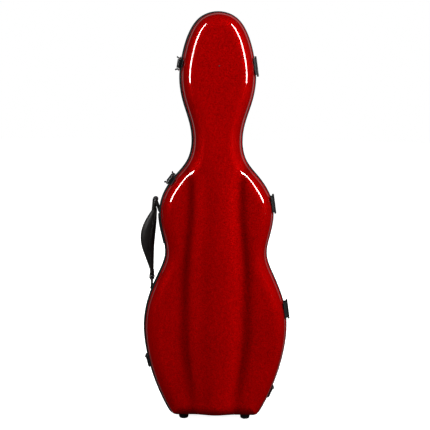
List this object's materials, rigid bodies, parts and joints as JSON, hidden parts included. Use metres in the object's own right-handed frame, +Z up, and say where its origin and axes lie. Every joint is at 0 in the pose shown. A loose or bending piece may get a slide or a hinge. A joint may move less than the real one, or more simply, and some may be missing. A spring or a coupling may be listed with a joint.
{
  "type": "violin case",
  "caption": "Shaped hard case for a full-size violin, standing on its feet: hinged lid, draw latches, swinging padded handle, strap rings, and a lined inside with violin rest.",
  "frame": {"origin": "centre of the case's footprint, on the plane that its four feet stand on", "axes": "+Z up the case towards the scroll end, -Y out of the lid's face, +X towards the hinges; the seam between lid and base lies in the plane y = 0"},
  "size_m": [0.3008, 0.1405, 0.8071],
  "materials": {
    "shell": "glossy metallic red gel coat over glass fibre",
    "trim": "matt black extruded rubber edge channel",
    "seal": "matt soft black rubber bead",
    "liner": "dark grey velour over moulded foam",
    "padding": "velour covered foam cushion",
    "webbing": "black woven nylon webbing",
    "steel": "nickel plated steel wire and pins",
    "hardware": "satin black powder coated steel",
    "rubber": "matt black moulded rubber",
    "grip": "black padded textile sleeve",
    "plastic": "satin black moulded plastic"
  },
  "bodies": {
    "base": {"base_shell": "shell", "base_trim": "trim", "seam_seal": "seal", "base_liner": "liner", "lower_pad": "padding", "upper_pad": "padding", "neck_cradle": "padding", "neck_strap": "webbing", "door_rod": "steel", "lower_hinge_base_leaf": "hardware", "middle_hinge_base_leaf": "hardware", "upper_hinge_base_leaf": "hardware", "lower_hinge_pin": "steel", "middle_hinge_pin": "steel", "upper_hinge_pin": "steel", "head_latch_plate": "hardware", "shoulder_latch_plate": "hardware", "head_latch_pin": "steel", "shoulder_latch_pin": "steel", "base_foot_left": "rubber", "base_foot_right": "rubber", "handle_upper_bracket": "hardware", "handle_lower_bracket": "hardware", "strap_lower_left_bracket": "hardware", "strap_lower_right_bracket": "hardware", "strap_upper_left_bracket": "hardware", "strap_upper_right_bracket": "hardware"},
    "lid": {"lid_shell": "shell", "lid_trim": "trim", "lid_liner": "liner", "lower_hinge_lid_leaf": "hardware", "middle_hinge_lid_leaf": "hardware", "upper_hinge_lid_leaf": "hardware", "head_latch_catch": "hardware", "shoulder_latch_catch": "hardware", "lid_foot_left": "rubber", "lid_foot_right": "rubber", "bow_post_left": "plastic", "bow_post_right": "plastic", "tip_loop_left": "webbing", "tip_loop_right": "webbing"},
    "head_latch_lever": {"head_latch_lever": "hardware"},
    "head_latch_bail": {"head_latch_bail": "steel"},
    "shoulder_latch_lever": {"shoulder_latch_lever": "hardware"},
    "shoulder_latch_bail": {"shoulder_latch_bail": "steel"},
    "handle_upper_ring": {"handle_upper_ring": "hardware"},
    "handle": {"handle_grip": "grip", "handle_upper_webbing": "webbing", "handle_lower_webbing": "webbing"},
    "handle_lower_ring": {"handle_lower_ring": "hardware"},
    "strap_lower_left_ring": {"strap_lower_left_ring": "steel"},
    "strap_lower_right_ring": {"strap_lower_right_ring": "steel"},
    "strap_upper_left_ring": {"strap_upper_left_ring": "steel"},
    "strap_upper_right_ring": {"strap_upper_right_ring": "steel"},
    "accessory_door": {"accessory_door": "liner", "door_tab": "webbing"},
    "bow_clip_left": {"bow_clip_left": "plastic"},
    "bow_clip_right": {"bow_clip_right": "plastic"}
  },
  "joints": [
    {"name": "lid_hinge", "type": "hinge", "parent": "base", "child": "lid", "pos_m": [0.1449, 0, 0.2194], "axis": [-0.1407, 0, 0.9901], "range_deg": [0, 105]},
    {"name": "head_lever_pivot", "type": "hinge", "parent": "base", "child": "head_latch_lever", "pos_m": [-0.0755, 0.0165, 0.70559], "axis": [0.14, 0, 0.9902], "range_deg": [0, 115]},
    {"name": "head_bail_pivot", "type": "hinge", "parent": "head_latch_lever", "child": "head_latch_bail", "pos_m": [-0.07797, 0.0225, 0.70594], "axis": [0.14, 0, 0.9902], "range_deg": [-116, 0]},
    {"name": "shoulder_lever_pivot", "type": "hinge", "parent": "base", "child": "shoulder_latch_lever", "pos_m": [-0.09143, 0.0165, 0.47768], "axis": [0.605, 0, 0.7962], "range_deg": [0, 115]},
    {"name": "shoulder_bail_pivot", "type": "hinge", "parent": "shoulder_latch_lever", "child": "shoulder_latch_bail", "pos_m": [-0.09342, 0.0225, 0.47919], "axis": [0.605, 0, 0.7962], "range_deg": [-116, 0]},
    {"name": "handle_swing", "type": "hinge", "parent": "base", "child": "handle_upper_ring", "pos_m": [-0.11365, 0.022, 0.41387], "axis": [0, -1, 0], "range_deg": [0, 55]},
    {"name": "handle_upper_bar", "type": "hinge", "parent": "handle_upper_ring", "child": "handle", "pos_m": [-0.1222, 0.022, 0.4361], "axis": [0, -1, 0], "range_deg": [-59, 0]},
    {"name": "handle_lower_swing", "type": "hinge", "parent": "base", "child": "handle_lower_ring", "pos_m": [-0.12886, 0.022, 0.25713], "axis": [0, -1, 0], "range_deg": [0, 81]},
    {"name": "strap_lower_left_swing", "type": "hinge", "parent": "base", "child": "strap_lower_left_ring", "pos_m": [-0.13858, 0.026, 0.11538], "axis": [0, 1, 0], "range_deg": [0, 110]},
    {"name": "strap_lower_right_swing", "type": "hinge", "parent": "base", "child": "strap_lower_right_ring", "pos_m": [0.11785, 0.026, 0.05264], "axis": [0, -1, 0], "range_deg": [0, 110]},
    {"name": "strap_upper_left_swing", "type": "hinge", "parent": "base", "child": "strap_upper_left_ring", "pos_m": [-0.046, 0.06698, 0.477], "axis": [1, 0, 0], "range_deg": [0, 110]},
    {"name": "strap_upper_right_swing", "type": "hinge", "parent": "base", "child": "strap_upper_right_ring", "pos_m": [0.046, 0.06698, 0.477], "axis": [1, 0, 0], "range_deg": [0, 110]},
    {"name": "accessory_door_hinge", "type": "hinge", "parent": "base", "child": "accessory_door", "pos_m": [0, 0.0029, 0.096], "axis": [-1, 0, 0], "range_deg": [0, 95]},
    {"name": "bow_clip_left_turn", "type": "hinge", "parent": "lid", "child": "bow_clip_left", "pos_m": [-0.0558, -0.0439, 0.124], "axis": [0, 1, 0], "range_deg": [0, 90]},
    {"name": "bow_clip_right_turn", "type": "hinge", "parent": "lid", "child": "bow_clip_right", "pos_m": [0.0582, -0.0439, 0.124], "axis": [0, 1, 0], "range_deg": [0, 90]}
  ],
  "couplings": [
    {"joint": "head_bail_pivot", "follows": "head_lever_pivot", "ratio": -1},
    {"joint": "shoulder_bail_pivot", "follows": "shoulder_lever_pivot", "ratio": -1},
    {"joint": "handle_upper_bar", "follows": "handle_swing", "ratio": -1.05},
    {"joint": "handle_lower_swing", "follows": "handle_swing", "ratio": 1.45}
  ]
}
